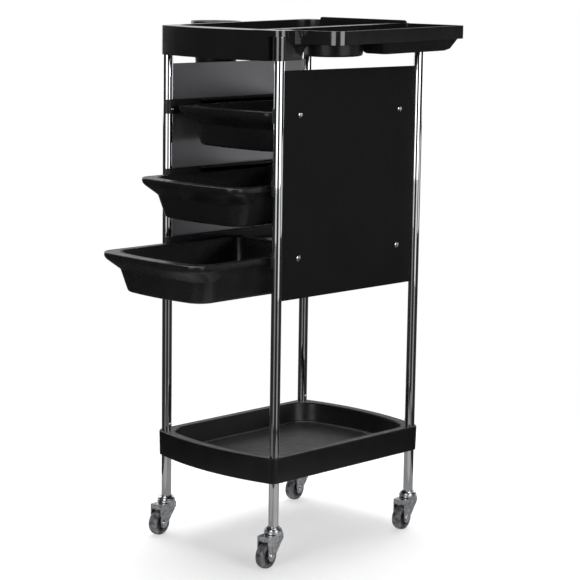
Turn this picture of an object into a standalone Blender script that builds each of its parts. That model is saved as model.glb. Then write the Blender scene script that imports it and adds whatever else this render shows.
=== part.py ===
"""Salon trolley: four chrome posts on swivel casters, two sheet side panels, three pull-out
bins on rails, a shelf tray, and a top with a dryer cup and a swing-out side tray.

Metres, +Z up, floor at z = 0. The bins pull out towards -Y. Heights and plan positions below are
counted from the middle of the four posts; the empty trolley_frame then moves the whole model so
that the middle of its bounding box is over the origin.
"""

import math

import bmesh
import bpy
from mathutils import Matrix, Vector

GAP = 0.0003

# Frame
POST_X = 0.124
POST_Y = 0.158
POST_RADIUS = 0.008
POST_WALL = 0.0012
POST_FOOT = 0.0623
BORE = 0.0083

# Side panels and their screws
PANEL_HALF_Y = 0.1497
PANEL_LOW = 0.4146
PANEL_HIGH = 0.7645
PANEL_SHEET = 0.001
PANEL_SCREW_Y = 0.113
PANEL_SCREW_Z = (0.697, 0.478)
PANEL_SCREW_RADIUS = 0.0046

# Rails
LEVELS = (0.697, 0.5875, 0.478)
LEVEL_NAMES = ("top", "middle", "bottom")
RAIL_HALF_HEIGHT = 0.011
RAIL_FACE = 0.1156
CLIP_RADIUS = 0.0103
LEDGE_X = 0.1025
LEDGE_FRONT = -0.094

# Bins
BIN_EXTENSION = (0.0, 0.076, 0.153)
BIN_RIM = 0.0035
BIN_TIP = -0.1577
BIN_BACK = 0.135
BIN_HALF = 0.1108
BIN_BOW = 0.009
BIN_HEIGHT = 0.0625
BIN_LIP = 0.009

# Shelf tray
TRAY_TOP = 0.1725
TRAY_LOW = 0.132
TRAY_X = 0.135
TRAY_Y = 0.169
TRAY_BOW = 0.020

# Top
TOP_LOW = 0.7790
TOP_HIGH = 0.8245
TOP_LEFT = -0.1342
TOP_RIGHT = 0.0925
TOP_FRONT = -0.1682
TOP_REAR = 0.1682
TOP_BOW = 0.016
TOP_RISE = 0.0205
EAR_LOW = 0.8153
POST_SINK = 0.8210

# Swing-out side tray
WING_LEFT = 0.0950
WING_RIGHT = 0.215
WING_FRONT = -0.128
WING_REAR = 0.160
WING_LOW = 0.8040
BOWL_CENTRE = (0.149, -0.067)
BOWL_RADIUS = 0.0442
BARREL_RADIUS = 0.0108
BARREL_TOP = 0.8145
ARM_RIGHT = 0.1360

# Dryer cup
CUP_CENTRE = (-0.180, -0.002)
CUP_RIM = 0.0415
CUP_TOP = 0.8280
CUP_LOW = 0.7540

# Casters
TRAIL = 0.019
SWIVEL_REST = 10
WHEEL_RADIUS = 0.020
WHEEL_HALF = 0.008
HUB_RADIUS = 0.0132
AXLE_RADIUS = 0.003
LEG_INSIDE = 0.0092
LEG_SHEET = 0.0018
LEG_END = 0.0082
HOUSING_LOW = 0.0515

CORNERS = {
    "front_left": (-POST_X, -POST_Y),
    "front_right": (POST_X, -POST_Y),
    "rear_left": (-POST_X, POST_Y),
    "rear_right": (POST_X, POST_Y),
}

MIDDLE_X = (CUP_CENTRE[0] - CUP_RIM + WING_RIGHT) / 2
MIDDLE_Y = (BIN_TIP - BIN_EXTENSION[2] - BIN_BOW + TRAY_Y + TRAY_BOW) / 2

COLOURS = {
    "black_plastic": ((0.012, 0.012, 0.013), 0.0, 0.28),
    "satin_plastic": ((0.018, 0.018, 0.019), 0.0, 0.45),
    "panel_paint": ((0.020, 0.020, 0.021), 0.0, 0.5),
    "chrome": ((0.75, 0.75, 0.76), 1.0, 0.08),
    "zinc_steel": ((0.55, 0.55, 0.56), 1.0, 0.3),
    "grey_tyre": ((0.11, 0.11, 0.12), 0.0, 0.6),
    "dark_hub": ((0.05, 0.05, 0.055), 0.0, 0.5),
}


# ---------------------------------------------------------------- scene


def clearScene():
    for item in list(bpy.data.objects):
        bpy.data.objects.remove(item)


def makeCollection(name):
    collection = bpy.data.collections.new(name)
    bpy.context.scene.collection.children.link(collection)
    return collection


def makeMaterial(name, kind):
    colour, metallic, roughness = COLOURS[kind]
    material = bpy.data.materials.new(name)
    material.use_nodes = True
    shader = material.node_tree.nodes["Principled BSDF"]
    shader.inputs["Base Color"].default_value = (*colour, 1.0)
    shader.inputs["Metallic"].default_value = metallic
    shader.inputs["Roughness"].default_value = roughness
    material.diffuse_color = (*colour, 1.0)
    return material


def addPart(name, mesh, kind, place=(0.0, 0.0, 0.0)):
    """Adds the mesh as a named piece with its own material, hung on the frame empty."""
    part = bpy.data.objects.new(name, mesh)
    part.location = place
    part.parent = frameEmpty
    if not mesh.materials:
        mesh.materials.append(makeMaterial(name, kind))
    partCollection.objects.link(part)
    return part


def addHelper(name, mesh, place=(0.0, 0.0, 0.0)):
    helper = bpy.data.objects.new(name, mesh)
    helper.location = place
    helper.parent = frameEmpty
    helper.hide_render = True
    helper.display_type = "WIRE"
    cutterCollection.objects.link(helper)
    return helper


def combine(part, helper, operation):
    modifier = part.modifiers.new(helper.name, "BOOLEAN")
    modifier.solver = "EXACT"
    modifier.operation = operation
    modifier.object = helper


def join(part, name, mesh):
    combine(part, addHelper(name, mesh), "UNION")


def cut(part, name, mesh):
    combine(part, addHelper(name, mesh), "DIFFERENCE")


# ---------------------------------------------------------------- shapes


def finishMesh(mesh, smooth=True):
    """Merges doubled points, turns faces outwards and shades round faces smooth."""
    shape = bmesh.new()
    shape.from_mesh(mesh)
    bmesh.ops.remove_doubles(shape, verts=shape.verts, dist=0.00001)
    bmesh.ops.recalc_face_normals(shape, faces=shape.faces)
    shape.to_mesh(mesh)
    shape.free()
    if smooth:
        mesh.shade_smooth()
        mesh.set_sharp_from_angle(angle=math.radians(35))
    return mesh


def bake(source):
    """The evaluated shape of a temporary object as a mesh of its own."""
    bpy.context.scene.collection.objects.link(source)
    bpy.context.view_layer.update()
    graph = bpy.context.evaluated_depsgraph_get()
    mesh = bpy.data.meshes.new_from_object(source.evaluated_get(graph))
    bpy.data.objects.remove(source)
    return finishMesh(mesh)


def flatSolid(outline, low, high):
    """A closed outline of (x, y) points filled and raised from low to high."""
    curve = bpy.data.curves.new("outline", "CURVE")
    curve.dimensions = "2D"
    curve.fill_mode = "BOTH"
    curve.extrude = (high - low) / 2
    spline = curve.splines.new("POLY")
    spline.points.add(len(outline) - 1)
    for point, (x, y) in zip(spline.points, outline):
        point.co = (x, y, 0.0, 1.0)
    spline.use_cyclic_u = True
    mesh = bake(bpy.data.objects.new("outline", curve))
    mesh.transform(Matrix.Translation((0.0, 0.0, (low + high) / 2)))
    return mesh


def turned(profile, steps, centre=(0.0, 0.0)):
    """A profile of (radius, z) points turned about the upright line through centre."""
    mesh = bpy.data.meshes.new("profile")
    count = len(profile)
    closed = profile[0][0] > 0 and profile[-1][0] > 0
    edges = [(i, i + 1) for i in range(count - 1)]
    if closed:
        edges.append((count - 1, 0))
    mesh.from_pydata([(r, 0.0, z) for r, z in profile], edges, [])
    source = bpy.data.objects.new("profile", mesh)
    screw = source.modifiers.new("turn", "SCREW")
    screw.steps = steps
    screw.render_steps = steps
    screw.use_merge_vertices = True
    screw.merge_threshold = 0.0001
    result = bake(source)
    result.transform(Matrix.Translation((centre[0], centre[1], 0.0)))
    return result


def rod(radius, low, high, steps, centre=(0.0, 0.0)):
    return turned([(0.0, high), (radius, high), (radius, low), (0.0, low)], steps, centre)


def box(xs, ys, zs):
    return flatSolid([(xs[0], ys[0]), (xs[1], ys[0]), (xs[1], ys[1]), (xs[0], ys[1])], zs[0], zs[1])


def arc(centre, radius, start, end, steps):
    points = []
    for i in range(steps + 1):
        angle = math.radians(start + (end - start) * i / steps)
        points.append((centre[0] + radius * math.cos(angle), centre[1] + radius * math.sin(angle)))
    return points


def roundedBox(xs, ys, radii, steps=4):
    """Outline from the front left corner anticlockwise, each corner with its own radius."""
    left, right = xs
    front, rear = ys
    a, b, c, d = radii
    return (
        arc((left + a, front + a), a, 180, 270, steps)
        + arc((right - b, front + b), b, 270, 360, steps)
        + arc((right - c, rear - c), c, 0, 90, steps)
        + arc((left + d, rear - d), d, 90, 180, steps)
    )


def bowedRing(xs, ys, cornerFront, cornerRear, bowFront, bowRear, sideY=None, steps=3, spans=6):
    """Rounded box outline whose front and rear edges bow outwards. Rings made with the same steps,
    spans and sideY-or-none have equal point counts, so they can be lofted."""
    left, right = xs
    front, rear = ys
    points = arc((left + cornerFront, front + cornerFront), cornerFront, 180, 270, steps)
    x0 = left + cornerFront
    x1 = right - cornerFront
    points += [(x0 + (x1 - x0) * i / spans, front) for i in range(1, spans)]
    points += arc((right - cornerFront, front + cornerFront), cornerFront, 270, 360, steps)
    if sideY is not None:
        points.append((right, sideY))
    points += arc((right - cornerRear, rear - cornerRear), cornerRear, 0, 90, steps)
    x0 = right - cornerRear
    x1 = left + cornerRear
    points += [(x0 + (x1 - x0) * i / spans, rear) for i in range(1, spans)]
    points += arc((left + cornerRear, rear - cornerRear), cornerRear, 90, 180, steps)
    if sideY is not None:
        points.append((left, sideY))
    half = (right - left) / 2
    middle = (right + left) / 2
    bowed = []
    for x, y in points:
        share = 1 - ((x - middle) / half) ** 2
        if y < front + cornerFront * 1.001:
            y -= bowFront * share
        elif y > rear - cornerRear * 1.001:
            y += bowRear * share
        bowed.append((x, y))
    return bowed


def loft(rings):
    """Closed solid through rings of equal length; each ring is a list of (x, y, z)."""
    shape = bmesh.new()
    rows = [[shape.verts.new(point) for point in ring] for ring in rings]
    count = len(rows[0])
    for lower, upper in zip(rows, rows[1:]):
        for i in range(count):
            j = (i + 1) % count
            shape.faces.new((lower[i], lower[j], upper[j], upper[i]))
    shape.faces.new(rows[0])
    shape.faces.new(rows[-1])
    mesh = bpy.data.meshes.new("loft")
    shape.to_mesh(mesh)
    shape.free()
    return finishMesh(mesh)


def level(ring, z):
    return [(x, y, z) for x, y in ring]


def alongX(mesh, sign=1):
    """Turns a mesh whose axis is +Z so that the axis points along +X or -X."""
    mesh.transform(Matrix.Rotation(sign * math.pi / 2, 4, "Y"))
    return mesh


def uprightXZ(mesh):
    """Stands an (x, y) outline solid up: its y becomes z and its z becomes -y."""
    mesh.transform(Matrix.Rotation(math.pi / 2, 4, "X"))
    return mesh


def lean(mesh):
    """The top rises slightly towards the rear, counted from the front posts."""
    shear = Matrix.Identity(4)
    shear[2][1] = TOP_RISE
    shear[2][3] = TOP_RISE * POST_Y
    mesh.transform(shear)
    return mesh


def domeHead(radius, height):
    profile = [(0.0, height)]
    for i in range(1, 3):
        angle = math.radians(35 * i)
        profile.append((radius * math.sin(angle), height * (0.25 + 0.75 * math.cos(angle))))
    profile.append((radius, 0.0))
    profile.append((0.0, 0.0))
    return turned(profile, 10)


# ---------------------------------------------------------------- frame


def makePosts():
    rearRise = 2 * POST_Y * TOP_RISE
    tops = {
        "front_left": POST_SINK,
        "front_right": POST_SINK,
        "rear_left": POST_SINK + rearRise,
        "rear_right": WING_LOW - 0.0035 + rearRise,
    }
    inner = POST_RADIUS - POST_WALL
    for corner, (x, y) in CORNERS.items():
        top = tops[corner]
        profile = [(inner, top), (POST_RADIUS, top), (POST_RADIUS, POST_FOOT), (inner, POST_FOOT)]
        addPart("post_" + corner, turned(profile, 20), "chrome", (x, y, 0.0))


def makePanels():
    low = PANEL_LOW
    high = PANEL_HIGH
    for side, sign in (("left", -1), ("right", 1)):
        x = sign * POST_X
        mesh = box((-PANEL_SHEET / 2, PANEL_SHEET / 2), (-PANEL_HALF_Y, PANEL_HALF_Y), (low, high))
        addPart("panel_" + side, mesh, "panel_paint", (x, 0.0, 0.0))


def makePanelScrews():
    for side, sign in (("left", -1), ("right", 1)):
        mesh = alongX(domeHead(PANEL_SCREW_RADIUS, 0.0026), sign)
        x = sign * (POST_X + PANEL_SHEET / 2 + GAP)
        for row, z in zip(("upper", "lower"), PANEL_SCREW_Z):
            for end, y in (("front", -PANEL_SCREW_Y), ("rear", PANEL_SCREW_Y)):
                name = f"panel_screw_{side}_{row}_{end}"
                addPart(name, mesh.copy(), "chrome", (x, y, z))


def makeRails():
    outer = POST_X - PANEL_SHEET / 2 - GAP
    high = RAIL_HALF_HEIGHT
    for name, z in zip(LEVEL_NAMES, LEVELS):
        for side, sign in (("left", -1), ("right", 1)):
            web = box(sorted((sign * RAIL_FACE, sign * outer)), (-POST_Y, POST_Y), (-high, high))
            rail = addPart(f"rail_{side}_{name}", web, "satin_plastic", (0.0, 0.0, z))
            ledge = box(sorted((sign * LEDGE_X, sign * (RAIL_FACE + 0.001))),
                        (LEDGE_FRONT, BIN_BACK), (-0.0085, BIN_RIM - BIN_LIP - GAP))
            lip = box(sorted((sign * (LEDGE_X + 0.004), sign * (RAIL_FACE + 0.001))),
                      (LEDGE_FRONT, BIN_BACK), (0.0080, 0.0104))
            combine(rail, addHelper(f"ledge_{side}_{name}", ledge, (0.0, 0.0, z)), "UNION")
            combine(rail, addHelper(f"lip_{side}_{name}", lip, (0.0, 0.0, z)), "UNION")
            for end, y in (("front", -POST_Y), ("rear", POST_Y)):
                place = (sign * POST_X, y, z)
                clip = rod(CLIP_RADIUS, -high - 0.0002, high + 0.0002, 16)
                hole = rod(BORE, -0.02, 0.02, 16)
                combine(rail, addHelper(f"clip_{side}_{name}_{end}", clip, place), "UNION")
                combine(rail, addHelper(f"clip_hole_{side}_{name}_{end}", hole, place), "DIFFERENCE")
            # The collars hug only the inner half of each post, so they also end short of the panel.
            outside = box(sorted((sign * outer, sign * (POST_X + 0.02))), (-0.2, 0.2), (-0.02, 0.02))
            combine(rail, addHelper(f"collar_cut_{side}_{name}", outside, (0.0, 0.0, z)), "DIFFERENCE")


def makeClipScrews():
    for side, sign in (("left", -1), ("right", 1)):
        for name, z in zip(LEVEL_NAMES, LEVELS):
            mesh = alongX(domeHead(0.0028, 0.0018), -sign)
            x = sign * (POST_X - CLIP_RADIUS - GAP)
            addPart(f"clip_screw_{side}_{name}", mesh, "chrome", (x, -POST_Y, z - 0.0042))


# ---------------------------------------------------------------- bins


def binRing(half, front, rear, corner, side, z, frontDrop=0.0):
    """One ring of a bin. frontDrop lowers the ring along the front visor only."""
    ring = bowedRing((-half, half), (front, rear), corner, 0.012, BIN_BOW, 0.0, side)
    points = []
    for x, y in ring:
        lowered = z - frontDrop if y < front + corner * 1.001 else z
        points.append((x, y, lowered))
    return points


def makeBins():
    tip = BIN_TIP
    rear = BIN_BACK
    side = tip + 0.058
    floor = -BIN_HEIGHT
    rings = [
        binRing(BIN_HALF - 0.0255, tip + 0.0315, rear - 0.0215, 0.020, side, floor + 0.0025),
        binRing(BIN_HALF - 0.0135, tip + 0.0205, rear - 0.0125, 0.022, side, 0.0),
        binRing(BIN_HALF, tip, rear, 0.020, side, 0.0),
        binRing(BIN_HALF, tip, rear, 0.020, side, -BIN_LIP),
        binRing(BIN_HALF - 0.0112, tip + 0.0225, rear - 0.010, 0.024, side, -BIN_LIP - 0.0002, 0.0195),
        binRing(BIN_HALF - 0.0230, tip + 0.0285, rear - 0.019, 0.022, side, floor),
    ]
    for name, z, out in zip(LEVEL_NAMES, LEVELS, BIN_EXTENSION):
        addPart("bin_" + name, loft(rings), "black_plastic", (0.0, -out, z + BIN_RIM))


# ---------------------------------------------------------------- shelf tray


def makeShelf():
    top = TRAY_TOP

    def ring(inset, corner, bow, z):
        xs = (-TRAY_X + inset, TRAY_X - inset)
        ys = (-TRAY_Y + inset, TRAY_Y - inset)
        return level(bowedRing(xs, ys, corner, corner, bow, bow), z)

    rings = [
        ring(0.0190, 0.028, TRAY_BOW - 0.003, top - 0.0330),
        ring(0.0135, 0.030, TRAY_BOW - 0.002, top - 0.0008),
        ring(0.0127, 0.030, TRAY_BOW - 0.002, top),
        ring(0.0010, 0.0105, TRAY_BOW, top),
        ring(0.0, 0.0110, TRAY_BOW, top - 0.0010),
        ring(0.0008, 0.0105, TRAY_BOW, TRAY_LOW),
        ring(0.0032, 0.0085, TRAY_BOW, TRAY_LOW),
        ring(0.0026, 0.0090, TRAY_BOW, top - 0.003),
        ring(0.0110, 0.030, TRAY_BOW - 0.002, top - 0.003),
        ring(0.0165, 0.029, TRAY_BOW - 0.003, top - 0.0355),
    ]
    shelf = addPart("shelf_tray", loft(rings), "black_plastic")
    for corner, (x, y) in CORNERS.items():
        boss = rod(0.0106, TRAY_LOW + 0.0004, top - 0.0014, 20, (x, y))
        hole = rod(BORE, TRAY_LOW - 0.02, top + 0.02, 20, (x, y))
        join(shelf, "shelf_boss_" + corner, boss)
        cut(shelf, "shelf_hole_" + corner, hole)


def makeShelfScrews():
    for corner, (x, y) in CORNERS.items():
        side = math.copysign(1, x)
        place = (x - side * (POST_RADIUS + GAP), y, TRAY_TOP + 0.0090)
        addPart("shelf_screw_" + corner, alongX(domeHead(0.0026, 0.0016), -side), "chrome", place)


# ---------------------------------------------------------------- top


def frontLine(x, inset=0.0):
    return TOP_FRONT + inset - TOP_BOW * (1 - (x / POST_X) ** 2)


def topOutline(inset, armEnd, armRear):
    """Outline of the fixed top: round front left corner, bowed front, arm to the hinge, then the
    straight right and rear sides."""
    radius = 0.0102 - inset
    points = arc((-POST_X, -POST_Y), radius, 180, 258, 4)
    start = -POST_X + 0.012
    for i in range(13):
        x = start + (armEnd - start) * i / 12
        points.append((x, frontLine(x, inset)))
    points += [(armEnd, armRear), (TOP_RIGHT - inset, armRear), (TOP_RIGHT - inset, TOP_REAR - inset)]
    return points + arc((-POST_X, POST_Y), radius, 90, 180, 4)


def makeTop():
    top = addPart("top_tray", lean(flatSolid(topOutline(0.0, 0.1126, -0.1475), TOP_LOW, TOP_HIGH)),
                  "black_plastic")
    cut(top, "top_hollow", lean(flatSolid(topOutline(0.003, 0.1096, -0.1505), 0.7540, 0.7998)))

    skirt = [(-0.135, 0.7540), (-0.135, 0.7795)]
    skirt += arc((-0.1175, 0.7795), 0.0175, 180, 90, 5)[1:]
    skirt += [(0.30, 0.7970), (0.30, 0.7540)]
    lift = flatSolid(skirt, -0.30, 0.30)
    lift.transform(Matrix(((0, 0, 1, 0), (1, 0, 0, 0), (0, 1, 0, 0), (0, 0, 0, 1))))
    cut(top, "top_skirt_lift", lean(lift))

    ear = flatSolid([(0.080, -0.1715), (POST_X, -0.1716)]
                    + arc((POST_X, -POST_Y), 0.0138, -85, 130, 12)
                    + [(0.080, -0.1474)], EAR_LOW, TOP_HIGH + 0.0002)
    join(top, "top_ear", lean(ear))
    join(top, "top_socket_front_left",
         lean(rod(0.0101, TOP_LOW + 0.0003, TOP_HIGH - 0.0004, 20, CORNERS["front_left"])))
    join(top, "top_socket_rear_left",
         lean(rod(0.0101, 0.7890, TOP_HIGH - 0.0004, 20, CORNERS["rear_left"])))
    join(top, "top_rear_arm",
         lean(box((0.084, 0.1340), (0.1480, 0.1680), (0.7996, WING_LOW - GAP))))
    join(top, "top_socket_rear_right",
         lean(rod(0.0104, 0.7880, WING_LOW - GAP - 0.0001, 20, CORNERS["rear_right"])))

    recess = roundedBox((-0.1245, 0.0795), (-0.1500, 0.1580), (0.032, 0.010, 0.010, 0.032))
    cut(top, "top_recess", lean(flatSolid(recess, 0.8025, 0.8640)))

    plate = uprightXZ(flatSolid(roundedBox((-0.099, 0.0905), (0.8140, 0.8287),
                                           (0.001, 0.001, 0.004, 0.004)), -0.1655, -0.1615))
    join(top, "top_rear_plate", lean(plate))

    for corner in ("front_left", "front_right", "rear_left"):
        hole = rod(BORE, 0.7540, POST_SINK + GAP, 20, CORNERS[corner])
        cut(top, "top_hole_" + corner, lean(hole))
    cut(top, "top_hole_rear_right",
        lean(rod(BORE, 0.7540, WING_LOW - 0.0035 + GAP, 20, CORNERS["rear_right"])))


def makeDryerCup():
    x, y = CUP_CENTRE
    rim = CUP_RIM
    profile = [
        (rim - 0.0060, CUP_TOP - 0.0006),
        (rim - 0.0052, CUP_TOP),
        (rim - 0.0008, CUP_TOP),
        (rim, CUP_TOP - 0.0010),
        (rim, CUP_TOP - 0.0060),
        (rim - 0.0035, CUP_TOP - 0.0068),
        (rim - 0.0080, CUP_LOW + 0.002),
        (rim - 0.0090, CUP_LOW),
        (rim - 0.0120, CUP_LOW),
    ]
    cup = addPart("dryer_cup", turned(profile, 28, CUP_CENTRE), "black_plastic")
    wall = TOP_LEFT - GAP
    join(cup, "cup_hook", box((wall - 0.0022, wall), (y - 0.018, y + 0.018), (0.8000, 0.8220)))
    join(cup, "cup_web", box((wall - 0.0075, wall - 0.0010), (y - 0.012, y + 0.012), (0.8005, 0.8215)))


# ---------------------------------------------------------------- side tray


def wingOutline(inset, corner):
    outline = roundedBox((WING_LEFT + inset, WING_RIGHT - inset), (WING_FRONT + inset, WING_REAR - inset),
                         (0.004, corner, 0.003, 0.003), 4)
    return outline[:5] + [(ARM_RIGHT, WING_FRONT - 0.010 + inset)] + outline[5:]


def troughRings(inset, bottom, top):
    corner = (0.008, 0.008, 0.008, 0.008)
    low = roundedBox((0.1585 + inset, 0.2027 - inset), (-0.010 + inset, 0.1345 - inset), corner, 3)
    bend = roundedBox((0.1545 + inset, 0.2067 - inset), (-0.0135 + inset, 0.1420 - inset), corner, 3)
    high = roundedBox((0.1500 + inset, 0.2112 - inset), (-0.0185 + inset, 0.1565 - inset), corner, 3)
    return [level(low, bottom), level(bend, bottom + 0.0030), level(high, top)]


def makeSideTray():
    tray = addPart("side_tray", lean(flatSolid(wingOutline(0.0, 0.020), WING_LOW, TOP_HIGH)),
                   "black_plastic")
    bowl = turned([(0.0, 0.8060), (BOWL_RADIUS, 0.8060), (BOWL_RADIUS, 0.7875),
                   (BOWL_RADIUS - 0.0010, 0.7852), (BOWL_RADIUS - 0.0032, 0.7843), (0.0, 0.7843)],
                  32, BOWL_CENTRE)
    join(tray, "bowl_outside", lean(bowl))
    join(tray, "trough_outside", lean(loft(troughRings(0.0, 0.7860, 0.8055))))
    join(tray, "hinge_arm", lean(box((0.1175, ARM_RIGHT), (-0.158, -0.124), (0.7797, TOP_HIGH - 0.0002))))
    join(tray, "hinge_barrel", lean(rod(BARREL_RADIUS, 0.7795, BARREL_TOP, 24, CORNERS["front_right"])))
    web = [(0.128, 0.7800), (0.1355, 0.7800)]
    web += arc((0.1575, 0.7825), 0.0225, 173, 95, 6)
    web += [(0.1575, 0.8060), (0.128, 0.8060)]
    join(tray, "hinge_web", lean(uprightXZ(flatSolid(web, 0.1205, 0.1355))))

    cut(tray, "tray_hollow", lean(flatSolid(wingOutline(0.0026, 0.0174), 0.8068, 0.8640)))
    hollow = turned([(0.0, 0.8640), (BOWL_RADIUS - 0.0025, 0.8640), (BOWL_RADIUS - 0.0025, 0.7885),
                     (BOWL_RADIUS - 0.0045, 0.7868), (0.0, 0.7868)], 32, BOWL_CENTRE)
    cut(tray, "bowl_inside", lean(hollow))
    cut(tray, "trough_inside", lean(loft(troughRings(0.0025, 0.7885, 0.8085))))
    cut(tray, "ear_swing", lean(rod(0.0143, BARREL_TOP - 0.0001, 0.8640, 24, CORNERS["front_right"])))
    cut(tray, "hinge_hole", rod(BORE, 0.7540, 0.8640, 20, CORNERS["front_right"]))

    hinge = Vector((POST_X, -POST_Y, 0.0))
    tray.data.transform(Matrix.Translation(-hinge))
    tray.location = hinge


# ---------------------------------------------------------------- casters


def makeHousing():
    low = HOUSING_LOW
    return turned([
        (0.0, 0.0820), (0.0055, 0.0820), (0.0063, 0.0810), (0.0063, POST_FOOT - GAP),
        (0.0098, POST_FOOT - GAP), (0.0128, 0.0596), (0.0143, 0.0556), (0.0145, low),
        (0.0, low),
    ], 18)


def makeFork():
    """Top plate and two legs; the leg outline is drawn looking along X."""
    end = arc((-TRAIL, WHEEL_RADIUS), LEG_END, 180, 330, 6)
    outline = end + [(0.0120, 0.0430), (0.0122, 0.0509), (-TRAIL - LEG_END, 0.0509)]
    turnToX = Matrix(((0, 0, 1, 0), (1, 0, 0, 0), (0, 1, 0, 0), (0, 0, 0, 1)))
    legs = []
    for sign in (-1, 1):
        inside = sign * LEG_INSIDE
        outside = sign * (LEG_INSIDE + LEG_SHEET)
        leg = flatSolid(outline, *sorted((inside, outside)))
        leg.transform(turnToX)
        legs.append(leg)
    half = LEG_INSIDE + LEG_SHEET - 0.0002
    front = -TRAIL - LEG_END - 0.0002
    outline = [(-half, front), (half, front)] + arc((0.0, 0.0), 0.0128, -32, 212, 10)
    return flatSolid(outline, 0.0490, HOUSING_LOW - GAP), legs


def makeTyre():
    outer = WHEEL_RADIUS
    half = WHEEL_HALF
    return alongX(turned([
        (HUB_RADIUS, half - 0.0006), (outer - 0.0022, half - 0.0006), (outer - 0.0004, half - 0.0034),
        (outer, 0.0), (outer - 0.0004, 0.0034 - half), (outer - 0.0022, 0.0006 - half),
        (HUB_RADIUS, 0.0006 - half),
    ], 28))


def makeHub():
    bore = AXLE_RADIUS + GAP
    rim = HUB_RADIUS - GAP
    return alongX(turned([
        (bore, 0.0087), (0.0058, 0.0087), (0.0062, 0.0048), (0.0112, 0.0048), (0.0120, 0.0068),
        (rim, 0.0068), (rim, -0.0068), (0.0120, -0.0068), (0.0112, -0.0048), (0.0062, -0.0048),
        (0.0058, -0.0087), (bore, -0.0087),
    ], 16))


def makeAxle():
    outside = LEG_INSIDE + LEG_SHEET + GAP
    return alongX(turned([
        (0.0, outside + 0.0024), (0.0036, outside + 0.0018), (0.0050, outside),
        (AXLE_RADIUS, outside), (AXLE_RADIUS, -outside),
        (0.0050, -outside), (0.0036, -outside - 0.0018), (0.0, -outside - 0.0024),
    ], 12))


def makeCasters():
    turn = math.radians(SWIVEL_REST)
    for corner, (x, y) in CORNERS.items():
        addPart("housing_" + corner, makeHousing(), "zinc_steel", (x, y, 0.0))
        plate, legs = makeFork()
        fork = addPart("fork_" + corner, plate, "zinc_steel", (x, y, 0.0))
        fork.rotation_euler.z = turn
        for side, leg in zip(("left", "right"), legs):
            helper = addHelper(f"leg_{side}_{corner}", leg, (x, y, 0.0))
            helper.rotation_euler.z = turn
            combine(fork, helper, "UNION")
        axle = (x + TRAIL * math.sin(turn), y - TRAIL * math.cos(turn), WHEEL_RADIUS)
        hole = addHelper("axle_hole_" + corner, alongX(rod(AXLE_RADIUS + GAP, -0.03, 0.03, 12)), axle)
        hole.rotation_euler.z = turn
        combine(fork, hole, "DIFFERENCE")
        addPart("axle_" + corner, makeAxle(), "chrome", axle).rotation_euler.z = turn
        addPart("tyre_" + corner, makeTyre(), "grey_tyre", axle).rotation_euler.z = turn
        addPart("hub_" + corner, makeHub(), "dark_hub", axle).rotation_euler.z = turn


clearScene()
partCollection = makeCollection("spa_trolley_cart")
cutterCollection = makeCollection("cutters")
cutterCollection.hide_render = True
frameEmpty = bpy.data.objects.new("trolley_frame", None)
frameEmpty.location = (-MIDDLE_X, -MIDDLE_Y, 0.0)
partCollection.objects.link(frameEmpty)

makePosts()
makePanels()
makePanelScrews()
makeRails()
makeClipScrews()
makeBins()
makeShelf()
makeShelfScrews()
makeTop()
makeDryerCup()
makeSideTray()
makeCasters()
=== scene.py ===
import math
import bmesh
import bpy
import numpy as np
from mathutils import Matrix, Vector


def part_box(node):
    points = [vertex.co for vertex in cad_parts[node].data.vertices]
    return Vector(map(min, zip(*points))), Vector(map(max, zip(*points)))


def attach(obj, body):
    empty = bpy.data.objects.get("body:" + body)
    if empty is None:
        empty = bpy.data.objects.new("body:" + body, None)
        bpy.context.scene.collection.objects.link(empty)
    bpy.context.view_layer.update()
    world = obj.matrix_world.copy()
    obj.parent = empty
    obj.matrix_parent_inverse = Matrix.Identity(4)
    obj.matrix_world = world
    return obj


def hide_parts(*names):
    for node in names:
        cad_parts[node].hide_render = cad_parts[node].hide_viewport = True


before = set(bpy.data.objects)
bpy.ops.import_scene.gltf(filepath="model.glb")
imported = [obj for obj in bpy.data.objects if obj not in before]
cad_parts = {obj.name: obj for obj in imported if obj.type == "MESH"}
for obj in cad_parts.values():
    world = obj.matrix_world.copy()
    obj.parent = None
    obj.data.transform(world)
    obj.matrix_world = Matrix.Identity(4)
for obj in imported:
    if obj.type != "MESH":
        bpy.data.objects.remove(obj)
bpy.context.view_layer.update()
corners = ("front_left", "front_right", "rear_left", "rear_right")
levels = ("top", "middle", "bottom")
print("frame loaded with", len(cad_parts), "nodes")


def middleOf(node):
    low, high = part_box(node)
    return (low + high) / 2


# Every size below is counted from the middle of the four posts, on the floor.
postAt = {corner: middleOf("post_" + corner) for corner in corners}
origin = (postAt["front_left"] + postAt["rear_right"]) / 2
origin = np.array((origin.x, origin.y, 0.0))


def postSpot(corner, z=0.0):
    return (postAt[corner].x - origin[0], postAt[corner].y - origin[1], z)


def gridFaces(rows, columns, closeRows):
    # one quad between each two neighbouring rows and columns; columns always run right round
    rowCount = rows if closeRows else rows - 1
    row, column = np.meshgrid(np.arange(rowCount), np.arange(columns), indexing="ij")
    below, right = (row + 1) % rows, (column + 1) % columns
    quads = (row * columns + column, row * columns + right,
             below * columns + right, below * columns + column)
    return np.stack(quads, -1).reshape(-1, 4)


def mergeDoubles(shape, distance):
    bmesh.ops.remove_doubles(shape, verts=shape.verts, dist=distance)


def finishMesh(mesh, mergeWithin=0.000002):
    # poles and seams merge, then every face turns outwards
    shape = bmesh.new()
    shape.from_mesh(mesh)
    mergeDoubles(shape, mergeWithin)
    bmesh.ops.recalc_face_normals(shape, faces=shape.faces)
    shape.to_mesh(mesh)
    shape.free()
    mesh.shade_smooth()
    return mesh


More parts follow.
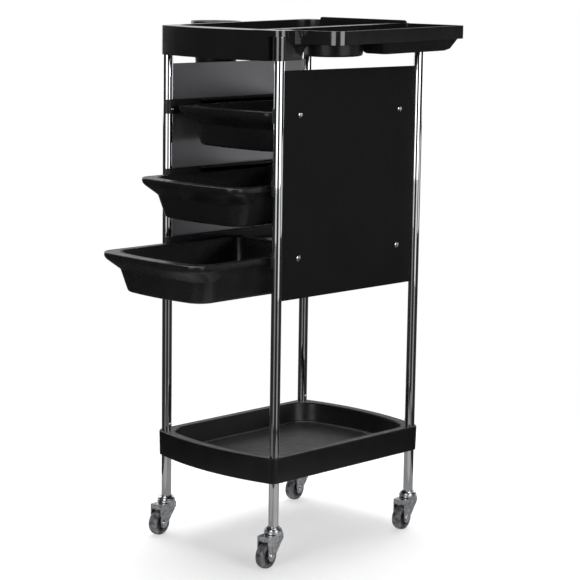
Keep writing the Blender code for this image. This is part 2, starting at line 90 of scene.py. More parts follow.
def surfaceMesh(name, grids, closeRows=False):
    # each grid[row, column] = (x, y, z) is one closed skin; the mesh holds them all
    points, faces, start = [], [], 0
    for grid in grids:
        points.append(grid.reshape(-1, 3) + origin)
        faces.append(gridFaces(*grid.shape[:2], closeRows) + start)
        start += len(points[-1])
    mesh = bpy.data.meshes.new(name)
    mesh.from_pydata(np.concatenate(points).tolist(), [], np.concatenate(faces).tolist())
    return finishMesh(mesh)


def soften(rows, reach, steps=4, wrap=False):
    # a row p between a and b, reach away on both sides, becomes (1-t)^2 a + 2t(1-t) p + t^2 b
    rows = np.asarray(rows, float)
    count = len(rows)
    longest = 0.49  # share of the way to a neighbour, so that two curves never cross
    t = np.linspace(0, 1, steps + 1)[:, None, None]
    result = [] if wrap else [rows[:1]]
    for i in range(0 if wrap else 1, count if wrap else count - 1):
        here, before, after = rows[i], rows[i - 1], rows[(i + 1) % count]
        ends = []
        for other in (before, after):
            away = other - here
            length = np.maximum(np.linalg.norm(away, axis=-1, keepdims=True), 1e-9)
            ends.append(here + away * np.minimum(reach[i] / length, longest))
        result.append((1 - t) ** 2 * ends[0] + 2 * t * (1 - t) * here + t ** 2 * ends[1])
    return np.concatenate(result if wrap else result + [rows[-1:]])


def turned(profile, count=48):
    # point(row, angle) = (r cos a, r sin a, h) for the row's radius r and height h
    profile = np.array(profile, float)
    angle = np.linspace(0, 2 * np.pi, count, endpoint=False)
    radius = profile[:, :1]
    height = np.repeat(profile[:, 1:], count, 1)
    return np.stack((radius * np.cos(angle), radius * np.sin(angle), height), -1)


def mirrored(half):
    # a profile's rows (radius, height), then the same rows backwards at minus height
    return list(half) + [(radius, -height) for radius, height in half[::-1]]


def bothWays(values):
    return list(values) + list(values)[::-1]


def placed(grid, centre, axis=(0, 0, 1)):
    # the grid's +Z turns to axis and its origin moves to centre
    turn = np.array(Vector((0, 0, 1)).rotation_difference(Vector(axis)).to_matrix())
    return grid @ turn.T + np.array(centre, float)


def roundedLoop(xs, ys, radii, bow=(0.0, 0.0), arcSteps=9, across=26, along=16):
    # four sides joined by quarter circles of the front and the rear radius
    # front and rear bulge by bow * (1 - u^2), u from -1 to 1 across
    (left, right), (front, rear) = xs, ys
    a, b = radii
    quarter = np.linspace(0, np.pi / 2, arcSteps)
    arcs = []
    for x, y, radius, start in ((left + a, front + a, a, 2), (right - a, front + a, a, 3),
                                (right - b, rear - b, b, 0), (left + b, rear - b, b, 1)):
        angle = quarter + start * np.pi / 2
        arcs.append(np.stack((x + radius * np.cos(angle), y + radius * np.sin(angle)), -1))
    pieces = []
    for i, count in enumerate((across, along, across, along)):
        t = np.linspace(0, 1, count + 2)[1:-1, None]
        pieces += [arcs[i], arcs[i][-1] * (1 - t) + arcs[(i + 1) % 4][0] * t]
    points = np.concatenate(pieces)
    u = (points[:, 0] - (left + right) / 2) / ((right - left) / 2)
    bulge = 1 - u ** 2
    slack = 1.001  # lets the arcs' last points count as front or rear
    isFront = points[:, 1] < front + a * slack
    isRear = points[:, 1] > rear - b * slack
    points[:, 1] += bow[1] * bulge * isRear - bow[0] * bulge * isFront
    return points


def atHeight(loop, z):
    # z is one number, or one for each point of the loop
    heights = np.full((len(loop), 1), z) if np.isscalar(z) else z[:, None]
    return np.concatenate((loop, heights), 1)


def pole(ring):
    # the ring drawn in to its own middle, which closes the skin there
    return np.repeat(ring.mean(0)[None], len(ring), 0)


# eased copies: doubles merge and coplanar triangles join before the edges are rounded
softCopies = {"mergeWithin": 0.00002, "flatDegrees": 1, "edgeDegrees": 32, "segments": 3,
              "flatWeight": 90}


def softCopy(node, bevel):
    # a merged copy of a CAD node's mesh with its edges rounded, flat faces kept flat
    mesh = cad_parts[node].data.copy()
    mesh.name = node + "_soft"
    shape = bmesh.new()
    shape.from_mesh(mesh)
    mergeDoubles(shape, softCopies["mergeWithin"])
    bmesh.ops.dissolve_limit(shape, angle_limit=math.radians(softCopies["flatDegrees"]),
                             verts=shape.verts, edges=shape.edges)
    shape.to_mesh(mesh)
    shape.free()
    mesh.materials.clear()
    copy = bpy.data.objects.new(node + "_soft", mesh)
    bpy.context.scene.collection.objects.link(copy)
    rounding = copy.modifiers.new("rounding", "BEVEL")
    rounding.width = bevel
    rounding.segments = softCopies["segments"]
    rounding.limit_method = "ANGLE"
    rounding.angle_limit = math.radians(softCopies["edgeDegrees"])
    rounding.use_clamp_overlap = True
    rounding.miter_outer = "MITER_ARC"
    mesh.shade_smooth()
    weighted = copy.modifiers.new("flat faces", "WEIGHTED_NORMAL")
    weighted.keep_sharp = False
    weighted.weight = softCopies["flatWeight"]
    return copy


def addPiece(name, mesh, material, body, replaced=()):
    isObject = isinstance(mesh, bpy.types.Object)
    piece = mesh if isObject else bpy.data.objects.new(name, mesh)
    if not isObject:
        bpy.context.scene.collection.objects.link(piece)
    piece.name = name
    piece.data.materials.clear()
    piece.data.materials.append(materials[material])
    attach(piece, body)
    if replaced:
        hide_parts(*replaced)
    return piece


def linear(code, alpha=1.0):
    # sRGB hex to linear light
    values = [int(code[i:i + 2], 16) / 255 for i in (1, 3, 5)]
    return (*[v / 12.92 if v <= 0.04045 else ((v + 0.055) / 1.055) ** 2.4 for v in values], alpha)


def addNode(tree, kind, settings=None, links=None):
    node = tree.nodes.new(kind)
    for key, value in (settings or {}).items():
        if isinstance(key, int) or key in node.inputs:
            node.inputs[key].default_value = value
        else:
            setattr(node, key, value)
    for key, source in (links or {}).items():
        tree.links.new(source, node.inputs[key])
    return node


def newMaterial(name, slot, settings):
    material = bpy.data.materials.new(name)
    material.use_nodes = True
    material["slot"] = slot
    tree = material.node_tree
    shader = tree.nodes["Principled BSDF"]
    for key, value in settings.items():
        shader.inputs[key].default_value = value
    place = addNode(tree, "ShaderNodeTexCoord").outputs["Object"]
    return material, tree, shader, place


def grain(tree, place, millimetres, detail=2.0, stretch=(1, 1, 1)):
    # noise whose spots are about this many millimetres across, half a wave each
    wavesPerMetre = 500 / millimetres
    mapping = addNode(tree, "ShaderNodeMapping", {"Scale": stretch}, {"Vector": place})
    noise = addNode(tree, "ShaderNodeTexNoise",
                    {"Scale": wavesPerMetre, "Detail": detail, "Roughness": 0.5},
                    {"Vector": mapping.outputs["Vector"]})
    return noise.outputs["Fac"]


# the part of the noise's 0 to 1 that is spread over the two colours or the two numbers
noiseSpan = {"colour": (0.35, 0.65), "number": (0.3, 0.7)}


def twoTone(tree, shader, noise, low, high, socket):
    # a noise value spread between two colours or two numbers, into one socket of the shader
    if isinstance(low, str):
        ramp = addNode(tree, "ShaderNodeValToRGB", links={"Fac": noise})
        for stop, place, colour in zip(ramp.color_ramp.elements, noiseSpan["colour"], (low, high)):
            stop.position = place
            stop.color = linear(colour)
        tree.links.new(ramp.outputs["Color"], shader.inputs[socket])
        return
    start, end = noiseSpan["number"]
    spread = addNode(tree, "ShaderNodeMapRange",
                     {"From Min": start, "From Max": end, "To Min": low, "To Max": high},
                     {"Value": noise})
    tree.links.new(spread.outputs["Result"], shader.inputs[socket])


def makeFinish(name, slot, shader, colour, rough=None, bump=None):
    # colour and rough: spot size in mm, detail, low, high, stretch; bump: mm, detail, height in m
    material, tree, principled, place = newMaterial(name, slot, shader)
    for pattern, socket in ((colour, "Base Color"), (rough, "Roughness")):
        if pattern:
            size, detail, low, high, *stretch = pattern
            noise = grain(tree, place, size, detail, *stretch)
            twoTone(tree, principled, noise, low, high, socket)
    if bump:
        size, detail, distance = bump
        node = addNode(tree, "ShaderNodeBump", {"Distance": distance, "Strength": 1.0},
                       {"Height": grain(tree, place, size, detail)})
        tree.links.new(node.outputs["Normal"], principled.inputs["Normal"])
    return material


finishes = {
    # ABS injection moulded in a polished tool: deep black, soft gloss, faint flow waves 3 cm long
    "gloss": {"name": "gloss black ABS", "slot": "black_plastic",
              "shader": {"IOR": 1.5, "Specular IOR Level": 0.45},
              "colour": (30, 1, "#1d1d1f", "#222224"), "rough": (14, 1, 0.24, 0.30),
              "bump": (30, 0, 0.00004)},
    # the same ABS from a mirror-polished tool: narrow bright sheen on the corners
    "polished": {"name": "polished black ABS", "slot": "black_plastic",
                 "shader": {"IOR": 1.5, "Specular IOR Level": 0.8,
                            "Coat Weight": 0.6, "Coat Roughness": 0.08},
                 "colour": (30, 1, "#1a1a1c", "#1f1f21"), "rough": (14, 1, 0.13, 0.17),
                 "bump": (30, 0, 0.00003)},
    # the same ABS from a lightly etched tool: softer sheen, fine pits
    "etched": {"name": "etched black ABS", "slot": "black_plastic",
               "shader": {"IOR": 1.5, "Specular IOR Level": 0.35},
               "colour": (20, 2, "#0f0f10", "#141415"), "rough": (6, 3, 0.3, 0.42),
               "bump": (1.6, 2, 0.00004)},
    # polypropylene mouldings: waxy, half matt
    "satin": {"name": "satin black polypropylene", "slot": "satin_plastic",
              "shader": {"IOR": 1.49, "Roughness": 0.42},
              "colour": (12, 2, "#1d1d1f", "#252527"), "bump": (1.4, 2, 0.00003)},
    # powder-coated steel sheet: near matt with orange peel about 1.5 mm across
    "powder": {"name": "black powder coat", "slot": "panel_paint",
               "shader": {"IOR": 1.5, "Specular IOR Level": 0.22},
               "colour": (40, 2, "#0e0e0f", "#121213"), "rough": (5, 3, 0.46, 0.56),
               "bump": (1.5, 1, 0.00004)},
    # thin grey lacquer over rolled steel: a satin, half metallic sheen with upright roll lines
    "lacquer": {"name": "grey lacquered steel", "slot": "panel_paint",
                "shader": {"IOR": 1.5, "Metallic": 0.8},
                "colour": (60, 2, "#b8b8bc", "#bebec2"),
                "rough": (3, 2, 0.36, 0.40, (1, 1, 0.1))},
    # bright chrome over nickel on steel tube: mirror with a faint drawn grain along the tube
    "chrome": {"name": "bright chrome plate", "slot": "chrome_steel", "shader": {"Metallic": 1.0},
               "colour": (30, 2, "#cfd0d2", "#dcdddf"),
               "rough": (8, 1, 0.045, 0.06, (1, 1, 0.06))},
    # pressed steel with bright zinc: cloudy, half mirror, small spangle
    "zinc": {"name": "bright zinc plate", "slot": "zinc_steel", "shader": {"Metallic": 1.0},
             "colour": (2.5, 3, "#a4a6a9", "#e2e4e6"), "rough": (2.2, 3, 0.16, 0.32),
             "bump": (3, 2, 0.00008)},
    # thermoplastic rubber tread: dusty grey, soft sheen, mottled by scuffs
    "tyre": {"name": "grey thermoplastic rubber", "slot": "grey_tyre", "shader": {"IOR": 1.5},
             "colour": (4, 4, "#303033", "#737377"), "rough": (2, 3, 0.26, 0.40),
             "bump": (2.4, 3, 0.00014)},
    # glass-filled nylon of the wheel centre: matt charcoal with a dry speckle
    "hub": {"name": "charcoal nylon", "slot": "dark_hub", "shader": {"IOR": 1.53, "Roughness": 0.5},
            "colour": (1.5, 3, "#2a2a2d", "#3c3c40"), "bump": (1.2, 2, 0.00005)},
}
materials = {key: makeFinish(**finish) for key, finish in finishes.items()}
print("materials made:", len(materials))


post = {"radius": 0.008, "endRounding": 0.0006, "around": 64}


def makePosts():
    # a rod: radius r from foot to top, its end edges eased
    for corner in corners:
        low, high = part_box("post_" + corner)
        r, ease = post["radius"], post["endRounding"]
        profile = [(0, low.z), (r, low.z), (r, high.z), (0, high.z)]
        rows = soften(turned(profile, post["around"]), (0, ease, ease, 0), 3)
        mesh = surfaceMesh("post", [placed(rows, postSpot(corner))])
        addPiece("chrome_post_" + corner, mesh, "chrome", "frame", ["post_" + corner])


makePosts()
print("posts made")


binSizes = {
    "height": 0.0625, "lip": 0.009, "bow": 0.009, "rearCorner": 0.012,
    "visorDrop": 0.0195, "visorFade": 0.036,
    # rounding under the lip: at the sides, and how much more along the front
    "lipEase": 0.0010, "frontEase": 0.0075, "frontStart": 0.012, "frontFade": 0.02,
    # the skin from the inside floor over the rim and down the outside: inset at the sides,
    # front and rear, front corner, level and height above it, visor shortfall, edge rounding
    "skin": (
        (0.0255, 0.0315, 0.0215, 0.020, "floor", 0.0025, None, 0.008),
        (0.0138, 0.0210, 0.0128, 0.022, "rim", -0.0012, None, 0.0006),
        (0.0120, 0.0190, 0.0112, 0.022, "rim", 0.0, None, 0.0012),
        (0.0088, 0.0150, 0.0085, 0.021, "rim", -0.0007, None, 0.001),
        (0.0030, 0.0045, 0.0030, 0.020, "rim", -0.0007, None, 0.001),
        (0.0012, 0.0014, 0.0012, 0.020, "rim", 0.0, None, 0.0008),
        (0.0, 0.0, 0.0, 0.020, "rim", -0.0012, None, 0.0008),
        (0.0, 0.0, 0.0, 0.020, "lip", 0.0, None, "under lip"),
        (0.0106, 0.0215, 0.0095, 0.024, "lip", -0.0002, 0.0014, 0.0006),
        (0.0112, 0.0225, 0.0100, 0.024, "lip", -0.0012, 0.0, 0.0004),
        (0.0230, 0.0285, 0.0190, 0.022, "floor", 0.0, None, 0.0045),
    ),
}


def binLoop(half, front, rear, corner, z, drop):
    # a bowed loop at z; its front part hangs lower by drop, and drop * (1 - s^2 (3 - 2s))
    # fades it out along the sides as s goes from 0 at the corner to 1
    loop = roundedLoop((-half, half), (front, rear), (corner, binSizes["rearCorner"]),
                       (binSizes["bow"], 0.0))
    share = np.clip((loop[:, 1] - front - corner) / binSizes["visorFade"], 0, 1)
    return atHeight(loop, z - drop * (1 - share * share * (3 - 2 * share)))


def lipRounding(loop, front):
    # along the front the lip melts into the visor, along the sides it keeps its edge
    beyond = (loop[:, 1:2] - front - binSizes["frontStart"]) / binSizes["frontFade"]
    return binSizes["lipEase"] + binSizes["frontEase"] * np.clip(1 - beyond, 0, 1)


def makeBin(level):
    # loops carried in from the floor over the rim and down the outside, each one the bin's
    # outline set in by a few numbers, with the bend at each loop eased
    low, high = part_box("bin_" + level)
    half = (high.x - low.x) / 2
    front = low.y - origin[1] + binSizes["bow"]
    rear = high.y - origin[1]
    height = {"rim": high.z, "floor": high.z - binSizes["height"],
              "lip": high.z - binSizes["lip"]}
    rows, reach = [], []
    for side, ahead, behind, corner, start, above, shortfall, ease in binSizes["skin"]:
        drop = 0.0 if shortfall is None else binSizes["visorDrop"] - shortfall
        rows.append(binLoop(half - side, front + ahead, rear - behind, corner,
                            height[start] + above, drop))
        reach.append(lipRounding(rows[-1], front) if ease == "under lip" else ease)
    rows = [pole(rows[0])] + rows + [pole(rows[-1])]
    mesh = surfaceMesh("bin", [soften(rows, [0] + reach + [0])])
    addPiece("bin_shell_" + level, mesh, "gloss", "bin_" + level, ["bin_" + level])


for level in levels:
    makeBin(level)
print("bins made")


shelf = {
    "bow": 0.020,
    # the skin from the inside floor over the rim, down the skirt and back under: inset,
    # corner, how much less bow, level and height above it, edge rounding
    "skin": (
        (0.0190, 0.0280, 0.003, "top", -0.0330, 0.005),
        (0.0140, 0.0300, 0.002, "top", -0.0022, 0.0014),
        (0.0127, 0.0300, 0.002, "top", 0.0, 0.0008),
        (0.0110, 0.0290, 0.002, "top", -0.0004, 0.0008),
        (0.0030, 0.0090, 0.0, "top", -0.0004, 0.0008),
        (0.0014, 0.0100, 0.0, "top", 0.0, 0.0008),
        (0.0, 0.0110, 0.0, "top", -0.0014, 0.001),
        (0.0008, 0.0105, 0.0, "bottom", 0.0, 0.0007),
        (0.0032, 0.0085, 0.0, "bottom", 0.0, 0.0007),
        (0.0026, 0.0090, 0.0, "top", -0.0030, 0.001),
        (0.0110, 0.0300, 0.002, "top", -0.0030, 0.001),
        (0.0165, 0.0290, 0.003, "top", -0.0355, 0.003),
    ),
    # the sockets that hold the posts
    "socket": {"radius": 0.0106, "bottomInset": 0.0004, "topInset": 0.0016, "edge": 0.0006,
               "around": 40},
}


def shelfLoop(inset, corner, bow, z):
    # the tray's outline set in all round; front and rear bulge by bow * (1 - u^2)
    low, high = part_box("shelf_tray")
    halfX = (high.x - low.x) / 2 - inset
    halfY = (high.y - low.y) / 2 - shelf["bow"] - inset
    loop = roundedLoop((-halfX, halfX), (-halfY, halfY), (corner, corner), (bow, bow), along=30)
    return atHeight(loop, z)


def makeShelf():
    low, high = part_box("shelf_tray")
    height = {"top": high.z, "bottom": low.z}
    rows = [shelfLoop(inset, corner, shelf["bow"] - less, height[start] + above)
            for inset, corner, less, start, above, _ in shelf["skin"]]
    rows = [pole(rows[0])] + rows + [pole(rows[-1])]
    reach = [0] + [row[-1] for row in shelf["skin"]] + [0]
    socket = shelf["socket"]
    r, foot, head = socket["radius"], low.z + socket["bottomInset"], high.z - socket["topInset"]
    boss = turned([(0, foot), (r, foot), (r, head), (0, head)], socket["around"])
    boss = soften(boss, (0, socket["edge"], socket["edge"], 0), 2)
    grids = [soften(rows, reach)] + [placed(boss, postSpot(corner)) for corner in corners]
    addPiece("shelf_shell", surfaceMesh("shelf", grids), "etched", "frame", ["shelf_tray"])


makeShelf()
print("shelf tray made")


easing = {"top_tray": 0.0009, "side_tray": 0.0008, "rail": 0.0005, "fork": 0.0005, "panel": 0.0003}
bowl = {"centre": (0.149, -0.067), "radius": 0.0442, "top": 0.806,
        "within": 0.0012, "beyond": 0.001}

addPiece("top_shell", softCopy("top_tray", easing["top_tray"]), "polished", "frame", ["top_tray"])


def makeSideTray():
    # the tray is polished, the outside of its bowl etched
    tray = addPiece("side_tray_shell", softCopy("side_tray", easing["side_tray"]), "polished",
                    "side_tray", ["side_tray"])
    tray.data.materials.append(materials["etched"])
    nearest, furthest = bowl["radius"] - bowl["within"], bowl["radius"] + bowl["beyond"]
    for face in tray.data.polygons:
        away = math.hypot(face.center.x - origin[0] - bowl["centre"][0],
                          face.center.y - origin[1] - bowl["centre"][1])
        if face.center.z < bowl["top"] and nearest < away < furthest:
            face.material_index = 1


makeSideTray()
for level in levels:
    for side in ("left", "right"):
        node = f"rail_{side}_{level}"
        rail = softCopy(node, easing["rail"])
        addPiece(f"bin_rail_{side}_{level}", rail, "satin", "frame", [node])
print("top, side tray and rails made")


cup = {
    # the wall right round: inset from the rim's radius, level and height above it
    "wall": (
        (0.0062, "top", -0.0008), (0.0050, "top", 0.0), (0.0008, "top", 0.0),
        (0.0, "top", -0.0010), (0.0, "top", -0.0060), (0.0035, "top", -0.0068),
        (0.0080, "bottom", 0.002), (0.0090, "bottom", 0.0), (0.0120, "bottom", 0.0),
        (0.0114, "bottom", 0.002),
    ),
    "edge": 0.0006, "around": 72,
    "hook": {"depth": 0.0080, "halfLength": 0.017, "bottom": 0.8002, "top": 0.8218,
             "corner": 0.001, "edge": 0.0008},
}


def makeDryerCup():
    # a turned ring: radius falls with depth, a rolled lip on top, plus a hook to the tray
    low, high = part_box("dryer_cup")
    rim = (high.y - low.y) / 2
    centre = (low.x + rim - origin[0], low.y + rim - origin[1], 0)
    height = {"top": high.z, "bottom": low.z}
    profile = [(rim - inset, height[start] + above) for inset, start, above in cup["wall"]]
    edges = [cup["edge"]] * len(profile)
    ring = soften(turned(profile, cup["around"]), edges, 3, wrap=True)
    mesh = surfaceMesh("cup", [placed(ring, centre)], closeRows=True)
    addPiece("dryer_ring", mesh, "gloss", "frame", ["dryer_cup"])

    hook = cup["hook"]
    wall = high.x - origin[0]
    loop = roundedLoop((wall - hook["depth"], wall),
                       (centre[1] - hook["halfLength"], centre[1] + hook["halfLength"]),
                       (hook["corner"], hook["corner"]), arcSteps=4, across=3, along=6)
    foot, head = atHeight(loop, hook["bottom"]), atHeight(loop, hook["top"])
    rows = soften([pole(foot), foot, head, pole(head)], (0, hook["edge"], hook["edge"], 0), 3)
    addPiece("dryer_ring_hook", surfaceMesh("hook", [rows]), "gloss", "frame")


makeDryerCup()
print("dryer cup made")


def makePanel(side, inwards):
    # powder coat all over, but lacquer on the face that looks inwards
    panel = addPiece("sheet_panel_" + side, softCopy("panel_" + side, easing["panel"]), "powder",
                     "frame", ["panel_" + side])
    panel.data.materials.append(materials["lacquer"])
    panel.modifiers["rounding"].material = 0
    squareOn = 0.9
    for face in panel.data.polygons:
        face.material_index = 1 if face.normal.x * inwards > squareOn else 0


makePanel("left", 1)
makePanel("right", -1)
print("panels made")


# lengths are shares of the head's radius, heights and depths shares of its height
screw = {"edgeHeight": 0.28, "roundness": 0.96, "crossWidth": 0.16, "crossLength": 0.62,
         "crossDepth": 0.35, "sideSlope": 0.05, "endSlope": 0.08, "rings": 22, "around": 72}


def makeScrew(node):
    # dome height h(r) = e + (1 - e) sqrt(1 - k r^2), lowered by the cross's depth where
    # |x| < width and |y| < length, or the reverse
    low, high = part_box(node)
    centre = middleOf(node)
    facesRight = node.startswith("panel_screw_right")
    facesRight = facesRight or "_left" in node and "panel" not in node
    outwards = 1 if facesRight else -1
    radius, height = (high.z - low.z) / 2, high.x - low.x
    radial = np.linspace(0, 1, screw["rings"])[:, None]
    angle = np.linspace(0, 2 * np.pi, screw["around"], endpoint=False)
    x, y = radial * np.cos(angle), radial * np.sin(angle)
    edge = screw["edgeHeight"]
    dome = np.sqrt(np.clip(1 - radial ** 2 * screw["roundness"], 0, 1))
    dome = edge + (1 - edge) * dome + 0 * angle
    across = [np.clip((screw["crossWidth"] - np.abs(p)) / screw["sideSlope"], 0, 1)
              * np.clip((screw["crossLength"] - np.abs(q)) / screw["endSlope"], 0, 1)
              for p, q in ((x, y), (y, x))]
    dome = (dome - screw["crossDepth"] * np.maximum(*across)) * height
    grid = np.stack((x * radius, y * radius, dome), -1)
    skirt = np.stack((x[-1] * radius, y[-1] * radius, np.zeros_like(angle)), -1)
    grid = np.concatenate((grid, skirt[None], pole(skirt)[None]))
    base = low.x if outwards > 0 else high.x
    at = (base - origin[0], centre.y - origin[1], centre.z)
    mesh = surfaceMesh("screw", [placed(grid, at, (outwards, 0, 0))])
    addPiece(node + "_head", mesh, "chrome", "frame", [node])


for node in sorted(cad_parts):
    if "_screw_" in node:
        makeScrew(node)
print("screws made")


caster = {
    "around": 56,
    # swivel dome from its spigot down: radius, level and height above it, edge rounding
    "dome": (
        (0.0, "head", 0.0, 0), (0.0063, "head", 0.0, 0.0006), (0.0063, "foot", -0.0003, 0),
        (0.0096, "foot", -0.0003, 0.0004), (0.0100, "foot", -0.0012, 0.0008),
        (0.0122, "foot", -0.0026, 0.0016), (0.0137, "foot", -0.0052, 0.0005),
        (0.0137, "foot", -0.0060, 0.0002), (0.0145, "foot", -0.0066, 0.0005),
        (0.0145, "base", 0.0006, 0.0003), (0.0140, "base", 0.0, 0.0003), (0.0, "base", 0.0, 0),
    ),
    # half of each profile across the wheel: radius and distance from the wheel's middle
    "tyreFlank": ((0.0134, 0.0062), (0.0146, 0.0076), (0.0180, 0.0076)),
    "treadDrop": 0.0008, "treadShoulder": 0.0058, "treadFlat": 0.0032, "tyreEdge": 0.0012,
    "hub": ((0, 0.0086), (0.0052, 0.0086), (0.0058, 0.0038), (0.0104, 0.0030),
            (0.0114, 0.0066), (0.0133, 0.0066)),
    "hubEdges": (0, 0.0006, 0.0010, 0.0012, 0.0005, 0.0004),
    "bolt": ((0, 0.0137), (0.0030, 0.0135), (0.0046, 0.0125), (0.0050, 0.0113),
             (0.0030, 0.0113)),
    "boltEdges": (0, 0.0008, 0.0006, 0.0003, 0), "boltAround": 40,
}


def makeHousing(corner):
    # a turned dome: radius against height, from the spigot down to the skirt's flat base
    low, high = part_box("housing_" + corner)
    height = {"head": high.z, "base": low.z, "foot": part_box("post_" + corner)[0].z}
    profile = [(radius, height[start] + above) for radius, start, above, _ in caster["dome"]]
    edges = [row[-1] for row in caster["dome"]]
    rows = soften(turned(profile, caster["around"]), edges, 3)
    mesh = surfaceMesh("housing", [placed(rows, postSpot(corner))])
    addPiece("caster_dome_" + corner, mesh, "zinc", "frame", ["housing_" + corner])


def makeWheel(corner):
    # tyre, hub and bolt are turned about the axle, which leans by the swivel's turn at rest
    body, wheel = "swivel_" + corner, "wheel_" + corner
    centre = middleOf("tyre_" + corner)
    at = (centre.x - origin[0], centre.y - origin[1], centre.z)
    lean = math.atan2(centre.x - postAt[corner].x, postAt[corner].y - centre.y)
    axis = (math.cos(lean), math.sin(lean), 0)

    low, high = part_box("tyre_" + corner)
    radius = (high.z - low.z) / 2
    flank = list(caster["tyreFlank"])
    flank += [(radius - caster["treadDrop"], caster["treadShoulder"]),
              (radius, caster["treadFlat"])]
    tread = mirrored([(r, -away) for r, away in flank])
    edges = [caster["tyreEdge"]] * len(tread)
    rows = soften(turned(tread, caster["around"]), edges, 3, wrap=True)
    mesh = surfaceMesh("tyre", [placed(rows, at, axis)], closeRows=True)
    addPiece("caster_tyre_" + corner, mesh, "tyre", wheel, ["tyre_" + corner])

    rows = turned(mirrored(caster["hub"]), caster["around"])
    rows = soften(rows, bothWays(caster["hubEdges"]), 3)
    mesh = surfaceMesh("hub", [placed(rows, at, axis)])
    addPiece("caster_hub_" + corner, mesh, "hub", wheel, ["hub_" + corner])

    rows = turned(mirrored(caster["bolt"]), caster["boltAround"])
    rows = soften(rows, bothWays(caster["boltEdges"]), 3)
    mesh = surfaceMesh("bolt", [placed(rows, at, axis)])
    addPiece("caster_bolt_" + corner, mesh, "chrome", body, ["axle_" + corner])


for corner in corners:
    makeHousing(corner)
    fork = softCopy("fork_" + corner, easing["fork"])
    addPiece("caster_fork_" + corner, fork, "zinc", "swivel_" + corner, ["fork_" + corner])
    makeWheel(corner)
print("casters made")


camera = {"at": (2.20435, -2.17965, 0.9234), "azimuth": 44.4646, "elevation": 9.4437,
          "roll": 0.8314, "lens": 121.97, "sensor": 36, "clip": (0.05, 50)}

floor = {"radius": 1.6, "thickness": 0.01, "around": 96, "colour": "#f4f4f4", "roughness": 0.85,
         # how solid it is near the middle, and where it starts and ends turning clear
         "strength": 0.65, "solid": 0.15, "fade": 1.15,
         "lift": 0.3,  # a glow of its own, which keeps the shadow under the trolley light
         # pools of light: right of the view, towards the camera, radius, glow
         "pools": ((0.05, -0.02, 0.45, 0.28), (-0.33, 0.35, 0.26, 0.12),
                   (0.28, 0.35, 0.26, 0.2)),
         "poolHeight": 0.003, "poolStep": 0.001}

# azimuth from the camera's, distance, low and high edge, width, and glow, for each light
softboxes = {
    "softbox left": (-30, 2.4, 0.50, 2.6, 1.30, 2.7),
    "softbox right": (42, 2.4, 0.50, 2.6, 1.45, 3.0),
    "skirt left": (-30, 2.4, 0.25, 0.49, 1.2, 0.8),
    "skirt right": (42, 2.4, 0.00, 0.49, 1.2, 1.0),
    "low left": (-30, 2.4, -0.60, 0.24, 1.1, 0.25),
    "low right": (42, 2.4, -0.60, -0.01, 1.1, 0.35),
    "side wash": (92, 2.4, 0.25, 0.64, 1.6, 0.8),
    "rear fill left": (-135, 2.4, 0.60, 2.2, 1.3, 2.0),
    "rear fill right": (140, 2.4, 0.60, 2.2, 1.3, 2.0),
}
overhead = {"behind": 180, "distance": 0.7, "height": 2.6, "size": (2.2, 2.2), "power": 75.0}

# what the pieces mirror: dim all round, bright in a patch behind the trolley, whose edge is
# soft between two cosines of the angle from its middle
surroundings = {"dim": 0.03, "bright": 0.6, "rise": 0.12, "outer": 0.78, "inner": 0.95}


def makeFloor():
    # a disc that turns clear towards its edge, so that it has no horizon
    radius, under = floor["radius"], -floor["thickness"]
    grid = turned([(0, 0), (radius, 0), (radius, under), (0, under)], floor["around"])
    mesh = surfaceMesh("floor", [grid - origin])
    mesh.shade_flat()
    disc = bpy.data.objects.new("floor", mesh)
    bpy.context.scene.collection.objects.link(disc)
    colour = linear(floor["colour"])
    settings = {"Roughness": floor["roughness"], "Base Color": colour, "Emission Color": colour,
                "Emission Strength": floor["lift"]}
    material, tree, shader, place = newMaterial("pale studio floor", "", settings)
    away = addNode(tree, "ShaderNodeVectorMath", {"operation": "LENGTH"}, {0: place})
    alpha = addNode(tree, "ShaderNodeMapRange",
                    {"interpolation_type": "SMOOTHSTEP", "From Min": floor["solid"],
                     "From Max": floor["fade"], "To Min": floor["strength"], "To Max": 0.0},
                    {"Value": away.outputs["Value"]})
    tree.links.new(alpha.outputs["Result"], shader.inputs["Alpha"])
    mesh.materials.append(material)
    disc.visible_glossy = False  # the pieces mirror the dark studio, not the pale floor


def addLamp(name, light, location, rotation):
    lamp = bpy.data.objects.new(name, light)
    lamp.location = location
    lamp.rotation_euler = rotation
    lamp.visible_camera = False
    bpy.context.scene.collection.objects.link(lamp)


def addPools():
    # pools of light on the floor, which the chrome feet and the casters mirror
    angle = math.radians(camera["azimuth"])
    for i, (across, towards, radius, strength) in enumerate(floor["pools"]):
        glow = bpy.data.lights.new("floor glow", "AREA")
        glow.shape = "DISK"
        glow.size = radius * 2
        glow.energy = strength * math.pi ** 2 * radius ** 2
        location = (across * math.cos(angle) + towards * math.sin(angle),
                    across * math.sin(angle) - towards * math.cos(angle),
                    floor["poolHeight"] + floor["poolStep"] * i)
        addLamp("floor glow", glow, location, (math.pi, 0, 0))


def addLight(name, azimuth, distance, height, size, power, aim=None):
    # a rectangle that faces the trolley; azimuth is counted as the camera's is
    light = bpy.data.lights.new(name, "AREA")
    light.shape = "RECTANGLE"
    light.size, light.size_y = size
    light.energy = power
    angle = math.radians(azimuth)
    location = Vector((distance * math.sin(angle), -distance * math.cos(angle), height))
    towards = Vector((0, 0, height if aim is None else aim)) - location
    addLamp(name, light, location, towards.to_track_quat("-Z", "Y").to_euler())


def addSoftboxes():
    for name, (turn, distance, lowEdge, highEdge, width, glow) in softboxes.items():
        height = highEdge - lowEdge
        addLight(name, camera["azimuth"] + turn, distance, lowEdge + height / 2,
                 (width, height), glow * math.pi * width * height)
    addLight("overhead", camera["azimuth"] + overhead["behind"], overhead["distance"],
             overhead["height"], overhead["size"], overhead["power"], aim=0.0)


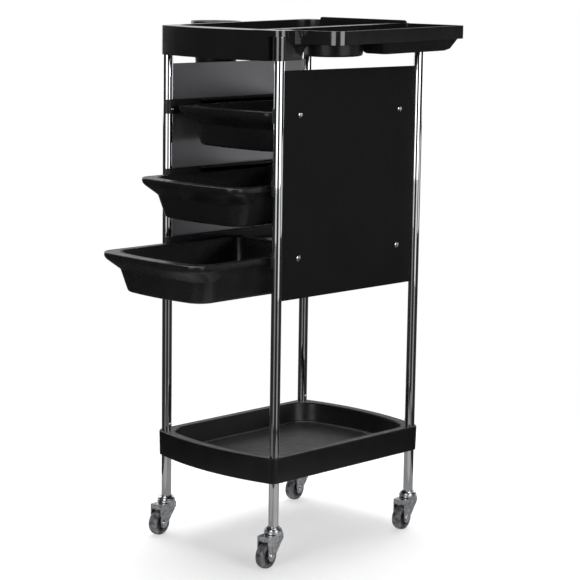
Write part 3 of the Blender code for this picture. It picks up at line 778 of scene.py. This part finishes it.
def makeWorld():
    # white where the camera looks past the trolley, the surroundings for everything else
    world = bpy.data.worlds.new("studio")
    bpy.context.scene.world = world
    world.use_nodes = True
    tree = world.node_tree
    tree.nodes.clear()
    angle = math.radians(camera["azimuth"])
    behind = (-math.sin(angle), math.cos(angle), surroundings["rise"])
    direction = addNode(tree, "ShaderNodeTexCoord").outputs["Generated"]
    facing = addNode(tree, "ShaderNodeVectorMath", {"operation": "DOT_PRODUCT", 1: behind},
                     {0: direction})
    glow = addNode(tree, "ShaderNodeMapRange",
                   {"interpolation_type": "SMOOTHSTEP", "From Min": surroundings["outer"],
                    "From Max": surroundings["inner"], "To Min": surroundings["dim"],
                    "To Max": surroundings["bright"]},
                   {"Value": facing.outputs["Value"]})
    white = (1, 1, 1, 1)
    lit = addNode(tree, "ShaderNodeBackground", {"Color": white},
                  {"Strength": glow.outputs["Result"]})
    plain = addNode(tree, "ShaderNodeBackground", {"Color": white, "Strength": 1.0})
    eye = addNode(tree, "ShaderNodeLightPath").outputs["Is Camera Ray"]
    mix = addNode(tree, "ShaderNodeMixShader",
                  links={0: eye, 1: lit.outputs["Background"], 2: plain.outputs["Background"]})
    addNode(tree, "ShaderNodeOutputWorld", links={"Surface": mix.outputs["Shader"]})


def makeCamera():
    azimuth, elevation, roll = (math.radians(camera[key])
                                for key in ("azimuth", "elevation", "roll"))
    back = Vector((math.sin(azimuth) * math.cos(elevation),
                   -math.cos(azimuth) * math.cos(elevation), math.sin(elevation)))
    right = Vector((math.cos(azimuth), math.sin(azimuth), 0))
    up = back.cross(right)
    across = right * math.cos(roll) + up * math.sin(roll)
    above = up * math.cos(roll) - right * math.sin(roll)
    turn = Matrix((across, above, back)).transposed().to_4x4()
    lens = bpy.data.cameras.new("camera")
    lens.lens = camera["lens"]
    lens.sensor_width = camera["sensor"]
    lens.clip_start, lens.clip_end = camera["clip"]
    view = bpy.data.objects.new("camera", lens)
    view.matrix_world = Matrix.Translation(camera["at"]) @ turn
    bpy.context.scene.collection.objects.link(view)
    bpy.context.scene.camera = view


makeFloor()
addPools()
makeWorld()
makeCamera()
addSoftboxes()
bpy.context.scene.view_settings.view_transform = "Standard"
print("floor, light and camera made")

bpy.context.view_layer.update()
